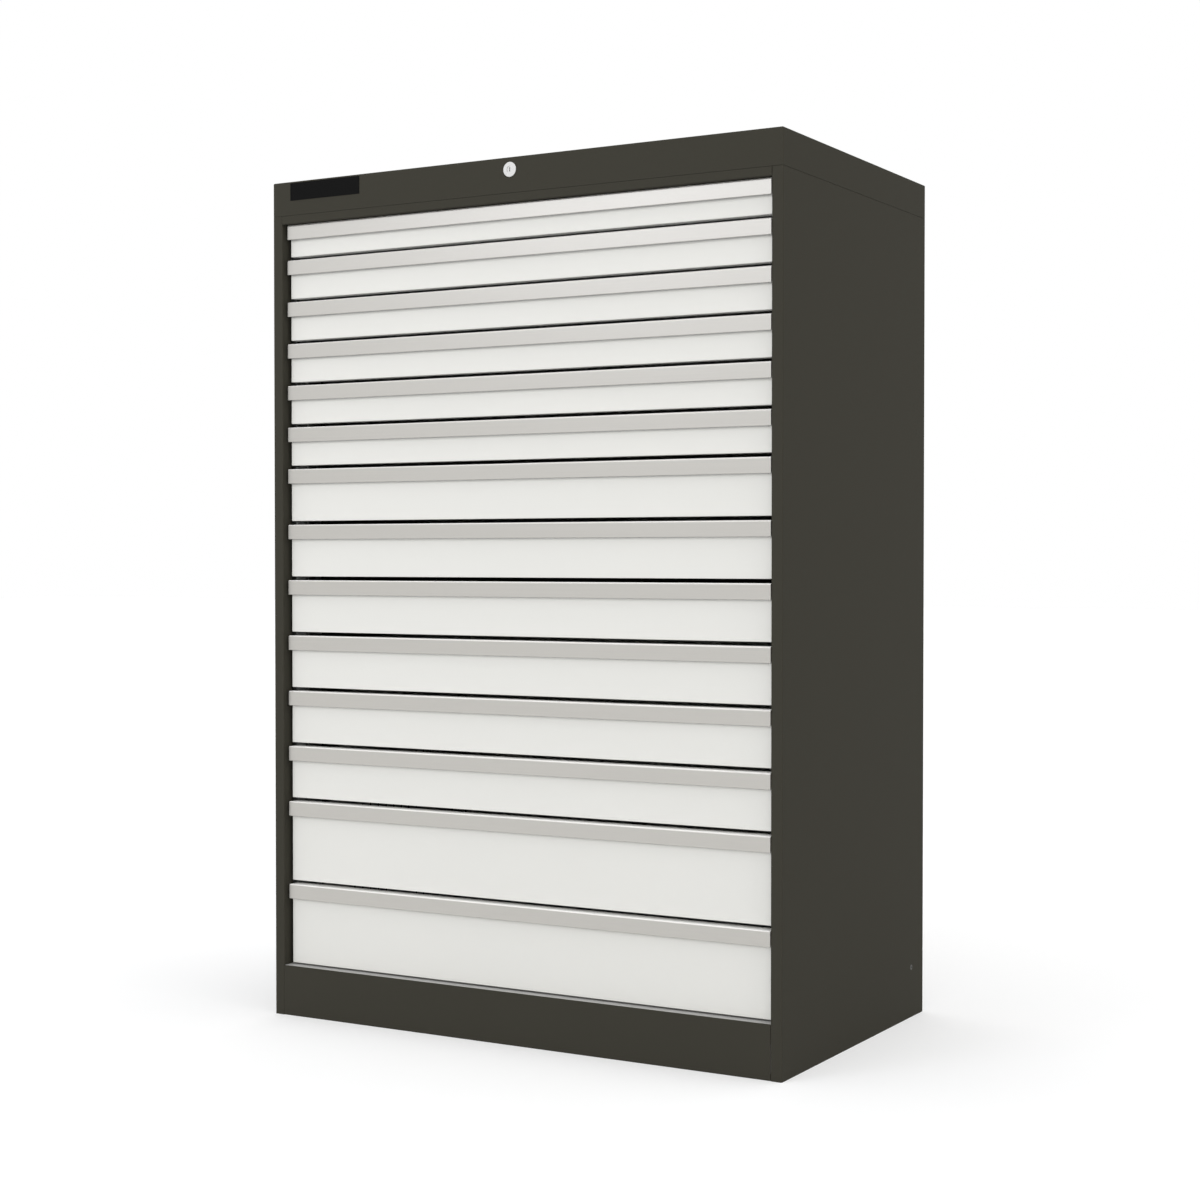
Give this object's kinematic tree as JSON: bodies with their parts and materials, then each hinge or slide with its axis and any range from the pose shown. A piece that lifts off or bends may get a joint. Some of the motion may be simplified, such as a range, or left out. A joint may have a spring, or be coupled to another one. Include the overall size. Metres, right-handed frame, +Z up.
{
  "type": "heavy-duty drawer cabinet",
  "caption": "Tall steel cabinet with a stack of full-extension drawers behind full-width pull handles, and a central lock in its cap.",
  "frame": {"origin": "on the floor, under the middle of the cabinet's box, the lock's rosette included", "axes": "+Z up, -Y towards the front with the drawers, +X to the right seen from the front"},
  "size_m": [1.01, 0.6066, 1.5],
  "materials": {
    "cabinet_paint": "smooth dark olive-grey powder coat, satin",
    "drawer_paint": "smooth light grey powder coat, satin",
    "handle_aluminium": "satin anodised extrusion, brushed along its length",
    "zinc_sheet": "zinc-plated sheet",
    "zinc_fastener": "zinc-plated screw",
    "lock_chrome": "bright nickel",
    "badge_black": "bare black plate"
  },
  "bodies": {
    "cabinet": {"right_side_panel": "cabinet_paint", "left_side_panel": "cabinet_paint", "back_panel": "cabinet_paint", "top_cap": "cabinet_paint", "header_rail": "cabinet_paint", "top_rails": "cabinet_paint", "plinth": "cabinet_paint", "floor_pan": "zinc_sheet", "rear_base_rail": "cabinet_paint", "slotted_uprights": "zinc_sheet", "fixed_rails": "zinc_sheet", "badge_plate": "badge_black", "side_screws": "zinc_fastener", "lock_barrel": "lock_chrome", "lock_guides": "zinc_sheet"},
    "drawer_01": {"drawer_01_body": "drawer_paint", "drawer_01_handle": "handle_aluminium"},
    "drawer_02": {"drawer_02_body": "drawer_paint", "drawer_02_handle": "handle_aluminium"},
    "drawer_03": {"drawer_03_body": "drawer_paint", "drawer_03_handle": "handle_aluminium"},
    "drawer_04": {"drawer_04_body": "drawer_paint", "drawer_04_handle": "handle_aluminium"},
    "drawer_05": {"drawer_05_body": "drawer_paint", "drawer_05_handle": "handle_aluminium"},
    "drawer_06": {"drawer_06_body": "drawer_paint", "drawer_06_handle": "handle_aluminium"},
    "drawer_07": {"drawer_07_body": "drawer_paint", "drawer_07_handle": "handle_aluminium"},
    "drawer_08": {"drawer_08_body": "drawer_paint", "drawer_08_handle": "handle_aluminium"},
    "drawer_09": {"drawer_09_body": "drawer_paint", "drawer_09_handle": "handle_aluminium"},
    "drawer_10": {"drawer_10_body": "drawer_paint", "drawer_10_handle": "handle_aluminium"},
    "drawer_11": {"drawer_11_body": "drawer_paint", "drawer_11_handle": "handle_aluminium"},
    "drawer_12": {"drawer_12_body": "drawer_paint", "drawer_12_handle": "handle_aluminium"},
    "drawer_13": {"drawer_13_body": "drawer_paint", "drawer_13_handle": "handle_aluminium"},
    "drawer_14": {"drawer_14_body": "drawer_paint", "drawer_14_handle": "handle_aluminium"},
    "slides_01": {"slide_01": "zinc_sheet"},
    "slides_02": {"slide_02": "zinc_sheet"},
    "slides_03": {"slide_03": "zinc_sheet"},
    "slides_04": {"slide_04": "zinc_sheet"},
    "slides_05": {"slide_05": "zinc_sheet"},
    "slides_06": {"slide_06": "zinc_sheet"},
    "slides_07": {"slide_07": "zinc_sheet"},
    "slides_08": {"slide_08": "zinc_sheet"},
    "slides_09": {"slide_09": "zinc_sheet"},
    "slides_10": {"slide_10": "zinc_sheet"},
    "slides_11": {"slide_11": "zinc_sheet"},
    "slides_12": {"slide_12": "zinc_sheet"},
    "slides_13": {"slide_13": "zinc_sheet"},
    "slides_14": {"slide_14": "zinc_sheet"},
    "lock_plug": {"lock_plug": "lock_chrome"},
    "lock_link": {"lock_link": "zinc_sheet"},
    "lock_bar": {"lock_bar": "zinc_sheet"}
  },
  "joints": [
    {"name": "drawer_01_pull", "type": "slide", "parent": "cabinet", "child": "drawer_01", "axis": [0, -1, 0], "range_m": [0, 0.525]},
    {"name": "drawer_02_pull", "type": "slide", "parent": "cabinet", "child": "drawer_02", "axis": [0, -1, 0], "range_m": [0, 0.525]},
    {"name": "drawer_03_pull", "type": "slide", "parent": "cabinet", "child": "drawer_03", "axis": [0, -1, 0], "range_m": [0, 0.525]},
    {"name": "drawer_04_pull", "type": "slide", "parent": "cabinet", "child": "drawer_04", "axis": [0, -1, 0], "range_m": [0, 0.525]},
    {"name": "drawer_05_pull", "type": "slide", "parent": "cabinet", "child": "drawer_05", "axis": [0, -1, 0], "range_m": [0, 0.525]},
    {"name": "drawer_06_pull", "type": "slide", "parent": "cabinet", "child": "drawer_06", "axis": [0, -1, 0], "range_m": [0, 0.525]},
    {"name": "drawer_07_pull", "type": "slide", "parent": "cabinet", "child": "drawer_07", "axis": [0, -1, 0], "range_m": [0, 0.525]},
    {"name": "drawer_08_pull", "type": "slide", "parent": "cabinet", "child": "drawer_08", "axis": [0, -1, 0], "range_m": [0, 0.525]},
    {"name": "drawer_09_pull", "type": "slide", "parent": "cabinet", "child": "drawer_09", "axis": [0, -1, 0], "range_m": [0, 0.525]},
    {"name": "drawer_10_pull", "type": "slide", "parent": "cabinet", "child": "drawer_10", "axis": [0, -1, 0], "range_m": [0, 0.525]},
    {"name": "drawer_11_pull", "type": "slide", "parent": "cabinet", "child": "drawer_11", "axis": [0, -1, 0], "range_m": [0, 0.525]},
    {"name": "drawer_12_pull", "type": "slide", "parent": "cabinet", "child": "drawer_12", "axis": [0, -1, 0], "range_m": [0, 0.525]},
    {"name": "drawer_13_pull", "type": "slide", "parent": "cabinet", "child": "drawer_13", "axis": [0, -1, 0], "range_m": [0, 0.525]},
    {"name": "drawer_14_pull", "type": "slide", "parent": "cabinet", "child": "drawer_14", "axis": [0, -1, 0], "range_m": [0, 0.525]},
    {"name": "slides_01_run", "type": "slide", "parent": "cabinet", "child": "slides_01", "axis": [0, -1, 0], "range_m": [0, 0.2625]},
    {"name": "slides_02_run", "type": "slide", "parent": "cabinet", "child": "slides_02", "axis": [0, -1, 0], "range_m": [0, 0.2625]},
    {"name": "slides_03_run", "type": "slide", "parent": "cabinet", "child": "slides_03", "axis": [0, -1, 0], "range_m": [0, 0.2625]},
    {"name": "slides_04_run", "type": "slide", "parent": "cabinet", "child": "slides_04", "axis": [0, -1, 0], "range_m": [0, 0.2625]},
    {"name": "slides_05_run", "type": "slide", "parent": "cabinet", "child": "slides_05", "axis": [0, -1, 0], "range_m": [0, 0.2625]},
    {"name": "slides_06_run", "type": "slide", "parent": "cabinet", "child": "slides_06", "axis": [0, -1, 0], "range_m": [0, 0.2625]},
    {"name": "slides_07_run", "type": "slide", "parent": "cabinet", "child": "slides_07", "axis": [0, -1, 0], "range_m": [0, 0.2625]},
    {"name": "slides_08_run", "type": "slide", "parent": "cabinet", "child": "slides_08", "axis": [0, -1, 0], "range_m": [0, 0.2625]},
    {"name": "slides_09_run", "type": "slide", "parent": "cabinet", "child": "slides_09", "axis": [0, -1, 0], "range_m": [0, 0.2625]},
    {"name": "slides_10_run", "type": "slide", "parent": "cabinet", "child": "slides_10", "axis": [0, -1, 0], "range_m": [0, 0.2625]},
    {"name": "slides_11_run", "type": "slide", "parent": "cabinet", "child": "slides_11", "axis": [0, -1, 0], "range_m": [0, 0.2625]},
    {"name": "slides_12_run", "type": "slide", "parent": "cabinet", "child": "slides_12", "axis": [0, -1, 0], "range_m": [0, 0.2625]},
    {"name": "slides_13_run", "type": "slide", "parent": "cabinet", "child": "slides_13", "axis": [0, -1, 0], "range_m": [0, 0.2625]},
    {"name": "slides_14_run", "type": "slide", "parent": "cabinet", "child": "slides_14", "axis": [0, -1, 0], "range_m": [0, 0.2625]},
    {"name": "lock_turn", "type": "hinge", "parent": "cabinet", "child": "lock_plug", "pos_m": [0, -0.3017, 1.479], "axis": [0, 1, 0], "range_deg": [0, 90]},
    {"name": "lock_link_run", "type": "slide", "parent": "cabinet", "child": "lock_link", "axis": [-1, 0, 0], "range_m": [0, 0.01415]},
    {"name": "lock_bar_lift", "type": "slide", "parent": "cabinet", "child": "lock_bar", "axis": [0, 0, 1], "range_m": [0, 0.008]}
  ],
  "couplings": [
    {"joint": "slides_01_run", "follows": "drawer_01_pull", "ratio": 0.5},
    {"joint": "slides_02_run", "follows": "drawer_02_pull", "ratio": 0.5},
    {"joint": "slides_03_run", "follows": "drawer_03_pull", "ratio": 0.5},
    {"joint": "slides_04_run", "follows": "drawer_04_pull", "ratio": 0.5},
    {"joint": "slides_05_run", "follows": "drawer_05_pull", "ratio": 0.5},
    {"joint": "slides_06_run", "follows": "drawer_06_pull", "ratio": 0.5},
    {"joint": "slides_07_run", "follows": "drawer_07_pull", "ratio": 0.5},
    {"joint": "slides_08_run", "follows": "drawer_08_pull", "ratio": 0.5},
    {"joint": "slides_09_run", "follows": "drawer_09_pull", "ratio": 0.5},
    {"joint": "slides_10_run", "follows": "drawer_10_pull", "ratio": 0.5},
    {"joint": "slides_11_run", "follows": "drawer_11_pull", "ratio": 0.5},
    {"joint": "slides_12_run", "follows": "drawer_12_pull", "ratio": 0.5},
    {"joint": "slides_13_run", "follows": "drawer_13_pull", "ratio": 0.5},
    {"joint": "slides_14_run", "follows": "drawer_14_pull", "ratio": 0.5},
    {"joint": "lock_link_run", "follows": "lock_bar_lift", "ratio": 1.7677},
    {"joint": "lock_turn", "follows": "lock_bar_lift", "rad_per_m": 196.34}
  ]
}
